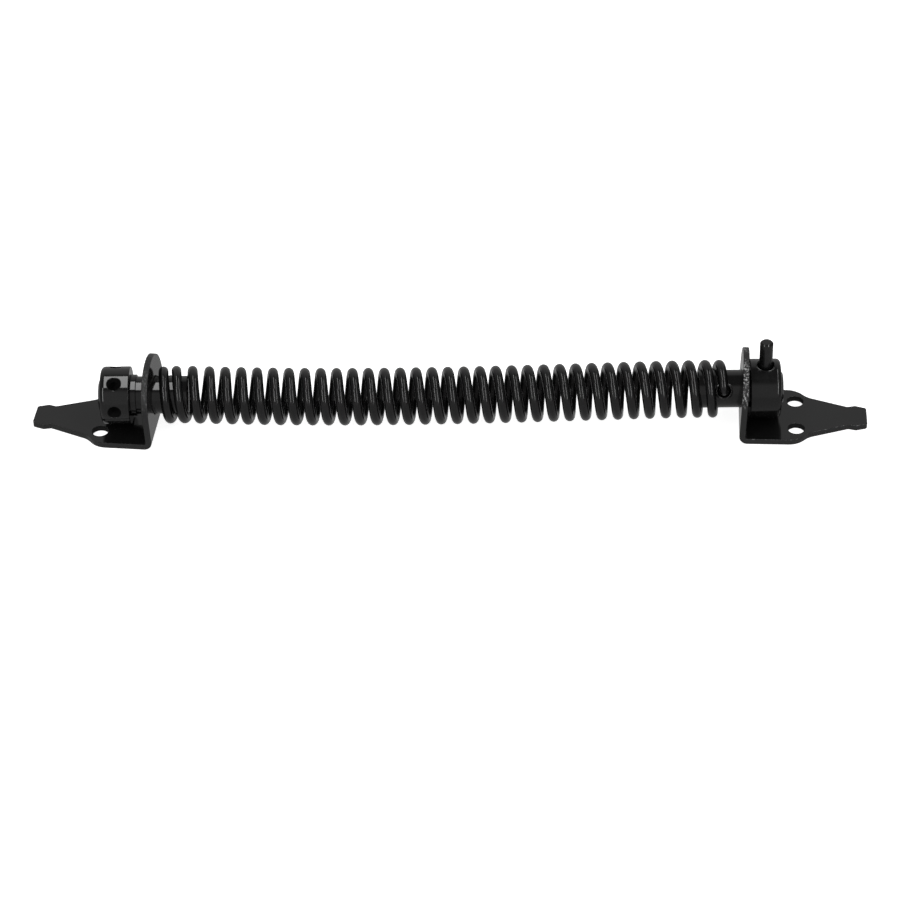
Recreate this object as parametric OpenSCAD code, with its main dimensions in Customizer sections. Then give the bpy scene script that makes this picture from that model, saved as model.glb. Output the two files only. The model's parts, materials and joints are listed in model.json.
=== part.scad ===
// Gate spring closer: a torsion spring hooked into two spindles, each turning in the ear of a
// screw-on bracket. Millimetres, +Z up. X runs from bracket to bracket along the spindles, and
// the origin is on the mounting plane, midway between the two ears.

/* [Brackets] */
// Width of the bracket plate and of its ear
plate_w = 40; // [34:0.5:50]
// Thickness of the bracket steel
plate_t = 3; // [2:0.25:4]
// Distance between the spring-side faces of the two ears, at the bends
ear_span = 281.6; // [260:0.2:340]
// Lean of each ear over its plate, in degrees
ear_lean = 1.9; // [0:0.1:4]
// Inside radius of the bend between plate and ear
bend_r = 1; // [0.5:0.25:1.5]
// Gap between the larger collar and the plate below it
plate_gap = 1.1; // [0.8:0.1:4]
// Turn of the left bracket about the vertical, loose on its spindle, in degrees
left_skew = -5.6; // [-8:0.1:8]
// Turn of the right bracket about the vertical, loose on its spindle, in degrees
right_skew = -2.6; // [-8:0.1:8]

/* [Bracket outline] */
// Length from the left ear's spring-side face to the corner of the shoulder
left_wide_len = 27.2; // [24:0.1:34]
// Length from the right ear's spring-side face to the corner of the shoulder
right_wide_len = 27.8; // [24:0.1:34]
// Length of the sloping shoulder
shoulder_len = 5.8; // [4:0.1:8]
// Length of the straight taper
taper_len = 19.1; // [12:0.1:26]
// Length from the neck to the widest point of the head
neck_len = 3.6; // [2.5:0.1:5]
// Length from the widest point of the head to the tip
head_len = 5.5; // [4:0.1:8]
// Width where the taper starts
waist_w = 28.3; // [22:0.1:32]
// Width of the neck
neck_w = 14.1; // [10:0.1:18]
// How far the head stands out past the neck on each side
head_flare = 0.95; // [0.5:0.05:2]
// How far the tip draws in from the head on each side
tip_draw = 1.7; // [0.5:0.1:3]
// Radius of the shoulder's outer corner
shoulder_r = 11; // [6:0.5:11]
// Radius of the shoulder's inner corner
waist_r = 9; // [4:0.5:12]
// Radius of the neck, the head and the tip's corners
head_r = 1.4; // [0.8:0.1:1.6]

/* [Screw holes] */
// Diameter of a screw hole
screw_d = 8; // [5:0.1:9]
// Distance between the two screw holes of a bracket
screw_spacing = 21.5; // [18:0.1:23]
// Distance of the screw holes before the corner of the shoulder
screw_setback = 0.3; // [0:0.1:4]

/* [Spindles] */
// Diameter of both spindles
spindle_d = 18.2; // [16:0.1:20]
// Length of spindle past the hole that holds the spring's end
spindle_tail = 12.4; // [6:0.1:16]
// Step in radius where the spindle enters its collar
spigot_step = 2; // [1:0.1:2.4]
// Chamfer on the spindle's inner end
spindle_chamfer = 0.8; // [0.4:0.1:1.5]
// Height of the riveted head that holds the collar on
rivet_h = 1.2; // [0.8:0.1:2]
// How far the riveted head stands out past the spigot, in radius
rivet_lip = 1.2; // [0.6:0.1:2]
// Least gap round a spindle in its ear
ear_clear = 0.3; // [0.25:0.05:0.6]

/* [Winding collar] */
// Diameter of the winding collar
winding_d = 28; // [25:0.5:30]
// Length of the winding collar
winding_len = 14.2; // [12:0.1:20]
// Number of tommy-bar holes round the winding collar
tommy_count = 6; // [3:1:6]
// Diameter of a tommy-bar hole
tommy_d = 6.5; // [5:0.1:6.8]
// Metal left between a tommy-bar hole and the spigot
tommy_floor = 0.6; // [0.4:0.1:1.5]
// Free length of spindle between the left ear and the spacer ring
winder_float = 6.2; // [2:0.1:12]
// Width of the spacer ring
ring_len = 2.9; // [1.5:0.1:5]
// Wall of the spacer ring
ring_wall = 0.9; // [0.6:0.1:2]

/* [Anchor collar] */
// Diameter of the anchor collar
anchor_d = 28.6; // [26:0.1:32]
// Length of the anchor collar
anchor_len = 14.8; // [12:0.1:20]
// Radius of the rounded outer edge of both collars
collar_edge_r = 2; // [1:0.1:3]
// Diameter of the locking pin
pin_d = 6.4; // [4:0.1:7]
// Length of pin that stands out of the collar
pin_out = 13.3; // [8:0.1:16]
// Distance from the spindle's axis to the floor of the pin's hole
pin_floor = 2; // [1:0.1:4]
// Chamfer on both ends of the pin
pin_chamfer = 0.8; // [0.4:0.1:1.5]
// Width of the countersink round the pin
pin_sink = 1; // [0.5:0.1:1.5]

/* [Spring] */
// Diameter of the spring wire
wire_d = 4.6; // [3:0.05:5]
// Whole turns of the spring
spring_turns = 35; // [20:1:36]
// Gap between the spring's inside and the spindles
coil_clear = 0.2; // [0.2:0.05:1]
// Gap between the spring and the right ear
right_gap = 5.8; // [3:0.1:20]
// Pitch of the turn beside the left ear
left_pitch = 6.5; // [5.4:0.1:8]
// Pitch of the last turn on the right
right_pitch = 6.5; // [5.8:0.1:8]
// How far the spring hangs below the spindles at its lowest place
spring_sag = 2.5; // [0:0.1:3]
// Angle of the left wire hole round the spindle, from the back over the top, in degrees
left_hole_angle = 50; // [0:1:60]
// Angle of the right wire hole round the spindle, from the back over the top, in degrees
right_hole_angle = 151; // [120:1:180]
// Radius of the bend at each end of the wire
hook_r = 3.4; // [2.8:0.1:4]

/* [Hidden] */
$fn = 64;

// Colours of the black gloss paint on plate, turned parts and wire
plate_colour = "#333436";
turned_colour = "#2a2b2d";
wire_colour = "#222325";

// Clearances: pieces of one assembly, sliding pin, wire in its hole, turning faces
seat_clear = 0.05;
pin_clear = 0.15;
wire_clear = 0.5;
face_clear = 0.3;

// Shared heights and places along X
axis_h = plate_t + max(winding_d, anchor_d) / 2 + plate_gap;
ear_x = ear_span / 2;
ear_top_r = plate_w / 2;
bend_out = plate_t + bend_r;
axis_lean = (axis_h - bend_out) * tan(ear_lean);
most_skew = max(abs(left_skew), abs(right_skew));
ear_hole_d = spindle_d / cos(most_skew) + plate_t * tan(most_skew) + 2 * ear_clear;
spigot_d = spindle_d - 2 * spigot_step;
rivet_d = spigot_d + 2 * rivet_lip;

// Bracket outline, measured from the corner of the shoulder
neck_u = shoulder_len + taper_len;
head_u = neck_u + neck_len;
tip_u = head_u + head_len;
head_w = neck_w + 2 * head_flare;
tip_w = head_w - 2 * tip_draw;
corner_steps = 6;
bend_steps = 12;

// Left group along X, outwards from the ear
ring_x = -(ear_x + plate_t + winder_float);
winding_x = ring_x - ring_len;

// Right group along X, outwards from the ear, clear of its skew and lean all the way round
right_ear_shift = axis_lean + anchor_d / 2 * norm([tan(right_skew), tan(ear_lean)]);
anchor_x = ear_x + plate_t + right_ear_shift + face_clear;
pin_x = anchor_x + anchor_len / 2;
pin_tip_r = anchor_d / 2 + pin_out;

// Spring: rings of a swept tube, with the cross-section's area kept
curl_rings = 8;
tube_sides = 6;
tube_r = wire_d / 2 * sqrt(2 * PI / (tube_sides * sin(360 / tube_sides)));
coil_r = spindle_d / 2 + coil_clear + wire_d / 2;
ring_r = coil_r / cos(180 / curl_rings);
hook_steps = 3;
sag_peak = 0.4 * pow(0.6, 1.5);
left_ear_shift = coil_r * norm([tan(left_skew), tan(ear_lean)]) - axis_lean;
left_wire_x = -ear_x + left_ear_shift + face_clear + tube_r / cos(left_skew);
right_wire_x = ear_x - right_gap - wire_d / 2;
coil_angle = 360 * spring_turns + right_hole_angle - left_hole_angle;
coil_turns = coil_angle / 360;
coil_steps = round(coil_turns * curl_rings);
body_pitch = (right_wire_x - left_wire_x - left_pitch - right_pitch) / (coil_turns - 2);
wire_end_r = coil_r - hook_r - wire_d;
left_end_x = left_wire_x + spindle_tail;
right_end_x = right_wire_x - spindle_tail;

function unit(v) = v / norm(v);

// Points of the arc of radius r that rounds corner p between its neighbours a and b
function corner_arc(a, p, b, r) =
    let (
        to_a = unit(a - p),
        to_b = unit(b - p),
        half = acos(to_a * to_b) / 2,
        reach = min(r / tan(half), norm(a - p) / 2, norm(b - p) / 2),
        centre = p + unit(to_a + to_b) * reach / cos(half),
        from = p + to_a * reach - centre,
        to = p + to_b * reach - centre,
        start = atan2(from[1], from[0]),
        turn = atan2(from[0] * to[1] - from[1] * to[0], from * to)
    )
    [for (i = [0 : corner_steps])
        let (angle = start + turn * i / corner_steps)
        centre + norm(from) * [cos(angle), sin(angle)]];

// Closed outline of corners given as [u, v, radius], with a radius of 0 left sharp
function rounded(corners) =
    let (n = len(corners), at = [for (c = corners) [c[0], c[1]]])
    [for (i = [0 : n - 1])
        each corners[i][2] == 0
            ? [at[i]]
            : corner_arc(at[(i + n - 1) % n], at[i], at[(i + 1) % n], corners[i][2])];

// Corners of one long side of a plate, from the bend to the tip
function long_side(wide_len) = [
    [bend_out, plate_w / 2, 0],
    [wide_len, plate_w / 2, shoulder_r],
    [wide_len + shoulder_len, waist_w / 2, waist_r],
    [wide_len + neck_u, neck_w / 2, head_r],
    [wide_len + head_u, head_w / 2, head_r],
    [wide_len + tip_u, tip_w / 2, head_r]
];

// Outline of a plate: one long side out to the tip and the other one back
function plate_outline(wide_len) =
    let (
        out = long_side(wide_len),
        back = [for (i = [len(out) - 1 : -1 : 0]) [out[i][0], -out[i][1], out[i][2]]]
    )
    rounded(concat(out, back));

// Directions across the spindles: angle 0 is the back, 90 the top, 180 the front
function radial(a) = [0, cos(a), sin(a)];
function along(a) = [0, -sin(a), cos(a)];

// Place along X after so many turns from the left end: a closer first turn, the body, a closer last
function wire_x(turns) =
    left_wire_x + left_pitch * min(turns, 1)
    + body_pitch * max(0, min(turns, coil_turns - 1) - 1)
    + right_pitch * max(0, turns - coil_turns + 1);

// Sag of the spring, free to tip at the left spindle and held in line at the right one: it is
// lowest at two fifths of the way, where the curve reaches its peak value
function sag_share(x) = min(1, max(0, (x - left_end_x) / (right_end_x - left_end_x)));
function sag(x) =
    let (t = sag_share(x))
    spring_sag * t * pow(1 - t, 1.5) / sag_peak;

// Tip of the turns, which stand square to the sagging axis: its slope, eased in over one turn
function tip(x) =
    let (
        t = sag_share(x),
        ease = min(1, max(0, (x - left_end_x) / body_pitch)),
        slope = spring_sag * sqrt(1 - t) * (1 - 2.5 * t) / sag_peak / (right_end_x - left_end_x)
    )
    ease * slope;

function axis_point(x) = [x, 0, axis_h - sag(x)];

// A ring of the tube is [centre, direction away from the coil's axis]
function coil_ring(i) =
    let (
        a = left_hole_angle + coil_angle * i / coil_steps,
        x = wire_x(coil_turns * i / coil_steps)
    )
    [axis_point(x) + ring_r * radial(a) + [tip(x) * coil_r * sin(a), 0, 0], radial(a)];

// Ring of an end hook: bend 0 points along the wire hole and 90 along the coil
function hook_ring(x, a, side_sign, bend) =
    let (
        aside = hook_r * (1 - cos(bend)),
        out = coil_r - hook_r * (1 - sin(bend))
    )
    [
        axis_point(x) + side_sign * aside * along(a) + out * radial(a),
        sin(bend) * radial(a) - side_sign * cos(bend) * along(a)
    ];

function hook_end(x, a, side_sign) =
    [axis_point(x) + wire_end_r * radial(a), -side_sign * along(a)];

wire_rings = concat(
    [hook_end(left_wire_x, left_hole_angle, 1)],
    [for (i = [0 : hook_steps]) hook_ring(left_wire_x, left_hole_angle, 1, 90 * i / hook_steps)],
    [for (i = [1 : coil_steps - 1]) coil_ring(i)],
    [for (i = [hook_steps : -1 : 0]) hook_ring(right_wire_x, right_hole_angle, -1, 90 * i / hook_steps)],
    [hook_end(right_wire_x, right_hole_angle, -1)]
);
ring_count = len(wire_rings);

// Least gap between stretches of the wire that are more than half a turn apart
apart = curl_rings - 2;
least_gap = min([
    for (i = [0 : ring_count - 1 - apart])
        for (j = [i + apart : ring_count - 1])
            norm(wire_rings[i][0] - wire_rings[j][0])
]) - 2 * tube_r;

// Turned shape about the spindles' axis, starting at x and running outwards in direction sign
module turned(x, sign) {
    translate([x, 0, axis_h])
        rotate([0, 90 * sign, 0])
            rotate_extrude()
                children();
}

// Drill of diameter d pointing out from the spindles' axis, from a radius outwards
module radial_drill(x, a, d, from_r, to_r) {
    translate([x, 0, axis_h])
        rotate([a - 90, 0, 0])
            translate([0, 0, from_r])
                cylinder(h = to_r - from_r, d = d);
}

// Countersink of a radial hole of diameter d in a surface of radius r
module radial_sink(x, a, d, r, width) {
    translate([x, 0, axis_h])
        rotate([a - 90, 0, 0])
            translate([0, 0, r - width])
                cylinder(h = 2 * width, d1 = d, d2 = d + 4 * width);
}

// Half section of a collar, bore to rim, with its outboard edge rounded
module collar_section(d, length) {
    bore_r = spigot_d / 2 + seat_clear;
    difference() {
        union() {
            square([d / 2, length - collar_edge_r]);
            square([d / 2 - collar_edge_r, length]);
            translate([d / 2 - collar_edge_r, length - collar_edge_r])
                circle(r = collar_edge_r);
        }
        translate([-bore_r, -collar_edge_r])
            square([2 * bore_r, length + 2 * collar_edge_r]);
    }
}

// Half section of a spindle, inner end first, with its spigot and riveted head
module spindle_section(length, collar_len) {
    r = spindle_d / 2;
    top = length + collar_len;
    polygon([
        [0, 0],
        [r - spindle_chamfer, 0],
        [r, spindle_chamfer],
        [r, length],
        [spigot_d / 2, length],
        [spigot_d / 2, top],
        [rivet_d / 2, top],
        [rivet_d / 2, top + rivet_h / 3],
        [rivet_d / 2 - rivet_lip, top + rivet_h],
        [0, top + rivet_h]
    ]);
}

// Blind, countersunk hole in a spindle for one end of the wire
module wire_hole(x, a) {
    hole_d = wire_d + 2 * wire_clear;
    radial_drill(x, a, hole_d, wire_end_r - face_clear, spindle_d);
    radial_sink(x, a, hole_d, spindle_d / 2, wire_clear);
}

// Strip that bends up from the plate and leans, longer and wider than the ear
module bent_strip() {
    centre = [bend_out, bend_out];
    reach = axis_h + plate_w;
    rise = reach * [sin(ear_lean), cos(ear_lean)];
    turns = [for (i = [0 : bend_steps]) 180 - ear_lean + (90 + ear_lean) * i / bend_steps];
    outside = [for (a = turns) centre + bend_out * [cos(a), sin(a)]];
    inside = [for (i = [bend_steps : -1 : 0]) centre + bend_r * [cos(turns[i]), sin(turns[i])]];
    rotate([90, 0, 0])
        linear_extrude(2 * plate_w, center = true)
            polygon(concat([outside[0] + rise], outside, inside, [inside[bend_steps] + rise]));
}

// Shape of the ear seen along the spindles, with its round top
module ear_shape() {
    translate([-plate_w, 0, 0])
        rotate([90, 0, 90])
            linear_extrude(2 * plate_w) {
                translate([-plate_w / 2, -plate_t])
                    square([plate_w, axis_h + plate_t]);
                translate([0, axis_h])
                    intersection() {
                        circle(r = ear_top_r);
                        translate([-plate_w, 0])
                            square([2 * plate_w, plate_w]);
                    }
            }
}

// Bracket with the foot of its ear at X 0 and its tail towards +X
module bracket(wide_len) {
    screw_u = wide_len - screw_setback;
    difference() {
        union() {
            linear_extrude(plate_t)
                polygon(plate_outline(wide_len));
            intersection() {
                bent_strip();
                ear_shape();
            }
        }
        translate([-plate_t, 0, axis_h])
            rotate([0, 90, 0])
                cylinder(h = 3 * plate_t, d = ear_hole_d);
        for (v = [-screw_spacing / 2, screw_spacing / 2])
            translate([screw_u, v, -plate_t])
                cylinder(h = 3 * plate_t, d = screw_d);
    }
}

module left_bracket() {
    color(plate_colour)
        translate([-ear_x, 0, 0])
            rotate([0, 0, 180 + left_skew])
                bracket(left_wide_len);
}

module right_bracket() {
    color(plate_colour)
        translate([ear_x, 0, 0])
            rotate([0, 0, right_skew])
                bracket(right_wide_len);
}

module winding_collar() {
    middle = winding_x - winding_len / 2;
    floor_r = spigot_d / 2 + tommy_floor;
    color(turned_colour)
        difference() {
            turned(winding_x, -1)
                collar_section(winding_d, winding_len);
            for (i = [0 : tommy_count - 1])
                radial_drill(middle, 180 + 360 * i / tommy_count, tommy_d, floor_r, winding_d);
        }
}

module spacer_ring() {
    color(turned_colour)
        turned(ring_x, -1)
            translate([spindle_d / 2 + seat_clear, 0])
                square([ring_wall - seat_clear, ring_len]);
}

module left_spindle() {
    color(turned_colour)
        difference() {
            turned(left_end_x, -1)
                spindle_section(left_end_x - winding_x, winding_len);
            wire_hole(left_wire_x, left_hole_angle);
        }
}

module torsion_spring() {
    echo(spring_least_gap_mm = least_gap);
    sides = tube_sides;
    points = [
        for (ring = wire_rings)
            for (k = [0 : sides - 1])
                let (a = 360 * (k + 0.5) / sides)
                ring[0] + tube_r * (cos(a) * ring[1] + sin(a) * [1, 0, 0])
    ];
    walls = [
        for (i = [0 : ring_count - 2])
            for (k = [0 : sides - 1])
                let (a = i * sides + k, b = i * sides + (k + 1) % sides)
                each [[a, b, b + sides], [a, b + sides, a + sides]]
    ];
    last = (ring_count - 1) * sides;
    first_cap = [for (k = [1 : sides - 2]) [0, k + 1, k]];
    last_cap = [for (k = [1 : sides - 2]) [last, last + k, last + k + 1]];
    color(wire_colour)
        polyhedron(points, concat(walls, first_cap, last_cap), convexity = 10);
}

module right_spindle() {
    color(turned_colour)
        difference() {
            turned(right_end_x, 1)
                spindle_section(anchor_x - right_end_x, anchor_len);
            wire_hole(right_wire_x, right_hole_angle);
            radial_drill(pin_x, 90, pin_d + 2 * pin_clear, pin_floor, spindle_d);
        }
}

module anchor_collar() {
    hole_d = pin_d + 2 * pin_clear;
    color(turned_colour)
        difference() {
            turned(anchor_x, 1)
                collar_section(anchor_d, anchor_len);
            radial_drill(pin_x, 90, hole_d, pin_floor, anchor_d);
            radial_sink(pin_x, 90, hole_d, anchor_d / 2, pin_sink);
        }
}

module locking_pin() {
    r = pin_d / 2;
    foot = pin_floor + face_clear;
    length = pin_tip_r - foot;
    color(turned_colour)
        translate([pin_x, 0, axis_h + foot])
            rotate_extrude()
                polygon([
                    [0, 0],
                    [r - pin_chamfer, 0],
                    [r, pin_chamfer],
                    [r, length - pin_chamfer],
                    [r - pin_chamfer, length],
                    [0, length]
                ]);
}

left_bracket();
winding_collar();
spacer_ring();
left_spindle();
torsion_spring();
right_spindle();
anchor_collar();
locking_pin();
right_bracket();
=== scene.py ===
"""Looks of a gate spring closer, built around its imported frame.

Laid out as an add-on and run as a script. Lengths are metres, as in the frame, and MM turns
millimetres into metres. X runs along the spindles, +Z is up and -Y is the front.
"""
import json
import math

import bmesh
import bpy
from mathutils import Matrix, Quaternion, Vector
from mathutils.bvhtree import BVHTree


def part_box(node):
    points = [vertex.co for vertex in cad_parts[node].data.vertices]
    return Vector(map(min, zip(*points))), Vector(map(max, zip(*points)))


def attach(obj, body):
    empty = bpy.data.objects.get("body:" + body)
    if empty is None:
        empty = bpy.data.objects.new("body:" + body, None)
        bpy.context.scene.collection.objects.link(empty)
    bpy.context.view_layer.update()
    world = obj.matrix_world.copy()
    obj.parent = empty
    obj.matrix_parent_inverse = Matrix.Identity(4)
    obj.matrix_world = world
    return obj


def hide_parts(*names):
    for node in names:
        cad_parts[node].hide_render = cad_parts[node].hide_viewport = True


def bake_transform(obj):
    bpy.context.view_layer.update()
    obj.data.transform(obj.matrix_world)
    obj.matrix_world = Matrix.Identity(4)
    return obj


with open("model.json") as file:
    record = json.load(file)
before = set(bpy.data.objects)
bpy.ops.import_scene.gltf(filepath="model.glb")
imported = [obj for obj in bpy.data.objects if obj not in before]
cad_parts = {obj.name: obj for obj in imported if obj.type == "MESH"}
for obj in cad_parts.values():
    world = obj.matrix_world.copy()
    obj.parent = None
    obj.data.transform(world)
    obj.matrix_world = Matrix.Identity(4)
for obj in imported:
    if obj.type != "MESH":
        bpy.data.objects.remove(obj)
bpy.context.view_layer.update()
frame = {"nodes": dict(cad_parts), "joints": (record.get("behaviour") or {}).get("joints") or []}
JOINTS = {joint["name"]: joint for joint in frame["joints"]}

bl_info = {
    "name": "Gate spring closer",
    "version": (1, 0, 0),
    "blender": (4, 5, 0),
    "location": "3D View > Sidebar > Gate closer",
    "description": "Makes the painted pieces of a gate spring closer, its floor, lights and camera",
    "category": "Object",
}

MM = 0.001
AXIS_H = JOINTS["winder_turn"]["pos_m"][2]
# Types of the nodes that are used most
MATH = "ShaderNodeMath"
MAP_RANGE = "ShaderNodeMapRange"

# Widest column of a turned piece, steps of a rounded edge, and radius below which a ring is a point
COLUMN_ANGLE = math.radians(4)
EDGE_STEPS = 4
ON_AXIS = 1e-7
# Rows of the square patch that a drilled hole is let into, and the rings from its border to the rim
PATCH_CELLS = 8
PATCH_RINGS = (0.35, 0.65, 0.88)
# Width of the patch outside a tommy-bar hole, a countersunk pin hole and a wire hole
TOMMY_MARGIN, PIN_MARGIN, WIRE_MARGIN = 1.4 * MM, 0.4 * MM, 0.6 * MM
# Half the side of the patch round the pin's hole in the spindle
PIN_PATCH = 4.4 * MM
# Section of a burr from its foot to the rim: distance from the rim and height, in burr widths
BURR_SECTION = ((1.0, 0.0), (0.65, 0.25), (0.3, 0.4), (0.0, 0.2))
# Rounding of the locking pin's corners
PIN_EDGE = 0.3 * MM

# Points and faces of a bracket that count as one, and the least angle and steps of a cut edge
SAME_POINT = 0.001 * MM
SAME_PLANE = math.radians(0.3)
CUT_ANGLE = math.radians(40)
CUT_STEPS = 3
# Widest hole in a plate that counts as a screw hole, and how its walls are found
SMALL_HOLE = 10 * MM
WALL_GAP = 0.05 * MM
WALL_RISE = 0.1

# Sag curve s (1 - s) ^ 1.5 along the spring, greatest two fifths of the way along
SAG_POWER = 1.5
SAG_PEAK = 0.4 * 0.6 ** SAG_POWER
# Skew curve s ^ 1.5 (1 - s) ^ 0.5, greatest three quarters of the way along
SKEW_POWER = 1.5
SKEW_PEAK = 0.75 ** SKEW_POWER * 0.25 ** 0.5

# Enamels: least and greatest roughness, size of their patches, and size and depth of their ripple,
# the last three in millimetres
PLATE_ENAMEL = (0.07, 0.14, 14, 2.2, 0.0025)
TURNED_ENAMEL = (0.05, 0.1, 9, 1.8, 0.002)
BAR_ENAMEL = (0.06, 0.12, 9, 1.8, 0.002)
COLLAR_ENAMEL = (0.1, 0.2, 3.5, 1.4, 0.006)
WIRE_ENAMEL = (0.12, 0.2, 5, 1.2, 0.0015)
ROD_ENAMEL = (0.12, 0.26, 4, 1.2, 0.005)
# Range of a noise texture's values, and share of a paint's colour in its deepest patches
NOISE_RANGE = (0.3, 0.7)
DEEP_TONE = 0.55

# Normals between which a cut edge begins to look aside, along the spindles or upwards
LOOKS_ASIDE, LOOKS_ALONG, LOOKS_UP = (0.1, 0.4), (0.25, 0.5), (0.1, 0.45)
# Heights between which a bracket's plate passes into its ear
EAR_HEIGHT = (0.2 * AXIS_H, 0.4 * AXIS_H)
# Torn grain: its size in millimetres, its stretch and its roughness
GRAIN_MM = 0.9
GRAIN_STRETCH = (1.0, 1.0, 0.4)
TORN_ROUGHNESS = 0.42
# Grain between which steel grey shows, worn through on the edges and also a painted glint of
# light, and the share of that along the plate's own edges
SPECK_AND_GLINT_RANGE = (0.52, 0.64)
PLATE_SPECKS_AND_GLINTS = 0.3

# Floor: its side, and how far the paper and the floor in reflections lie under the closer
FLOOR_SIZE = 16
PAPER_DEPTH, MIRRORED_DEPTH = 0.2 * MM, 0.1 * MM
# Height of a direction where the walls meet the ceiling, and lean where they meet the sides
CEILING_RANGE = (0.7, 0.9)
SIDE_RANGE = (0.35, 0.8)
# Two strip softboxes overhead and, wider apart, two upright panels before the closer: their width,
# and the place, length and setting of each
LAMP_WIDTH = 0.14
LAMPS = (
    ("Left strip softbox", (-0.265, 0.045, 1.0), 0.93, "softbox"),
    ("Right strip softbox", (0.5, 0.045, 1.0), 0.93, "softbox"),
    ("Left light panel", (-0.62, -0.82, 0.7), 1.1, "panel"),
    ("Right light panel", (0.66, -0.82, 0.7), 1.1, "panel"),
)


def linear(hex_colour):
    """Linear RGBA of an sRGB hex colour."""
    parts = [int(hex_colour[i:i + 2], 16) / 255 for i in (1, 3, 5)]
    return [p / 12.92 if p <= 0.04045 else ((p + 0.055) / 1.055) ** 2.4 for p in parts] + [1.0]


def length(name, description, millimetres):
    """A length that a user may set, in metres with a default in millimetres."""
    return bpy.props.FloatProperty(
        name=name, description=description, default=millimetres * MM, unit="LENGTH", precision=5
    )


def angle(name, description, degrees):
    """An angle that a user may set, with a default in degrees."""
    return bpy.props.FloatProperty(
        name=name, description=description, default=math.radians(degrees), subtype="ANGLE"
    )


def colour(name, description, hex_colour):
    """A colour that a user may set, with an sRGB hex default."""
    return bpy.props.FloatVectorProperty(
        name=name, description=description, default=linear(hex_colour), size=4, subtype="COLOR",
        min=0.0, max=1.0
    )


def level(name, description, value):
    """A brightness that a user may set."""
    return bpy.props.FloatProperty(name=name, description=description, default=value, min=0.0)


class CLOSER_PG_sizes(bpy.types.PropertyGroup):
    """Sizes of the turned pieces and the sheared edges."""

    sheared_edge: length("Sheared edge", "Rounding of the bracket's cut edges", 0.35)
    turned_edge: length("Turned edge", "Rounding of a turned piece's corners", 0.4)
    collar_edge: length("Collar edge", "Rounding of a collar's outboard edge", 2.0)
    hole_lip: length("Hole lip", "Rounding of a drilled hole's rim", 0.35)
    bore_r: length("Collar bore", "Radius of a collar's bore", 7.15)
    spindle_r: length("Spindle radius", "Radius of both spindles", 9.1)
    spigot_r: length("Spigot radius", "Radius of a spindle inside its collar", 7.1)
    rivet_r: length("Rivet radius", "Radius of a spindle's riveted head", 8.3)
    rivet_h: length("Rivet height", "Height of a spindle's riveted head", 1.2)
    spindle_chamfer: length("Spindle chamfer", "Chamfer on a spindle's inner end", 0.8)
    tommy_r: length("Tommy hole", "Radius of a tommy-bar hole", 3.25)
    tommy_depth: length("Tommy depth", "Depth of a tommy-bar hole", 6.3)
    tommy_count: bpy.props.IntProperty(
        name="Tommy holes", description="Holes round the winding collar", default=6, min=1
    )
    pin_hole_r: length("Pin hole", "Radius of the locking pin's hole", 3.35)
    pin_floor: length("Pin floor", "Distance from the axis to the floor of the pin's hole", 2.0)
    pin_sink: length("Pin countersink", "Width of the countersink round the pin", 1.0)
    pin_chamfer: length("Pin chamfer", "Chamfer on the pin's ends", 0.8)
    ring_bore_r: length("Ring bore", "Radius of the spacer ring's bore", 9.15)
    wire_hole_r: length("Wire hole", "Radius of the hole for the end of the wire", 2.8)
    wire_hole_floor: length("Wire hole floor", "Distance from the axis to its floor", 3.3)
    wire_hole_sink: length("Wire hole countersink", "Width of the countersink round that hole", 0.5)
    burr: length("Burr", "Width of the raised burr round a countersink", 0.9)


class CLOSER_PG_spring(bpy.types.PropertyGroup):
    """Sizes of the torsion spring."""

    wire_d: length("Wire diameter", "Diameter of the spring wire", 4.6)
    coat: length("Coat", "Thickness of the enamel on the spring wire", 0.1)
    coil_r: length("Coil radius", "Radius of the coil at the middle of the wire", 11.6)
    left_x: length("Left end", "Place of the wire's left end along the spindles", -137.236)
    right_x: length("Right end", "Place of the wire's right end along the spindles", 132.7)
    left_pitch: length("Left pitch", "Pitch of the turn beside the left ear", 6.2)
    right_pitch: length("Right pitch", "Pitch of the last turn on the right", 6.5)
    left_angle: angle("Left hole", "Angle of the left wire hole, from back over top", 50)
    right_angle: angle("Right hole", "Angle of the right wire hole, from back over top", 151)
    turns: bpy.props.IntProperty(
        name="Turns", description="Whole turns of the spring", default=35, min=3
    )
    bend_r: length("End bend", "Radius of the bend at each end of the wire", 3.4)
    tail: length("Spindle tail", "Length of spindle inside the coil past the wire hole", 12.4)
    sag: length("Sag", "How far the spring hangs below the spindles at its lowest place", 2.5)
    skew: angle("Ring skew", "Greatest turn of the rings in plan, front to the right", 1.9)


class CLOSER_PG_paint(bpy.types.PropertyGroup):
    """Colours of the paint and of the floor."""

    plate: colour("Plate enamel", "Black gloss enamel on the brackets", "#181818")
    turned: colour("Turned enamel", "Black gloss enamel on the turned pieces", "#121212")
    collar: colour("Thin enamel", "Black enamel, thin on the anchor collar", "#0c0c0c")
    wire: colour("Wire enamel", "Black enamel on the spring wire", "#0e0e0e")
    # Painted shade inside the drilled holes, darker and dull
    hole: colour("Hole scale", "Dull scale inside the drilled holes", "#101010")
    # Painted shade on the screw holes' walls, darker and dull
    screw_hole_shade: colour("Screw hole", "Darker dull finish on the screw holes' walls, painted shade", "#141414")
    # Steel grey, for edges worn through and also for painted glints on them
    steel: colour("Bare steel", "Grey steel that shows through on torn edges", "#c0c0c0")
    paper: colour("Floor paper", "White paper under the closer", "#f4f4f4")


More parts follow.
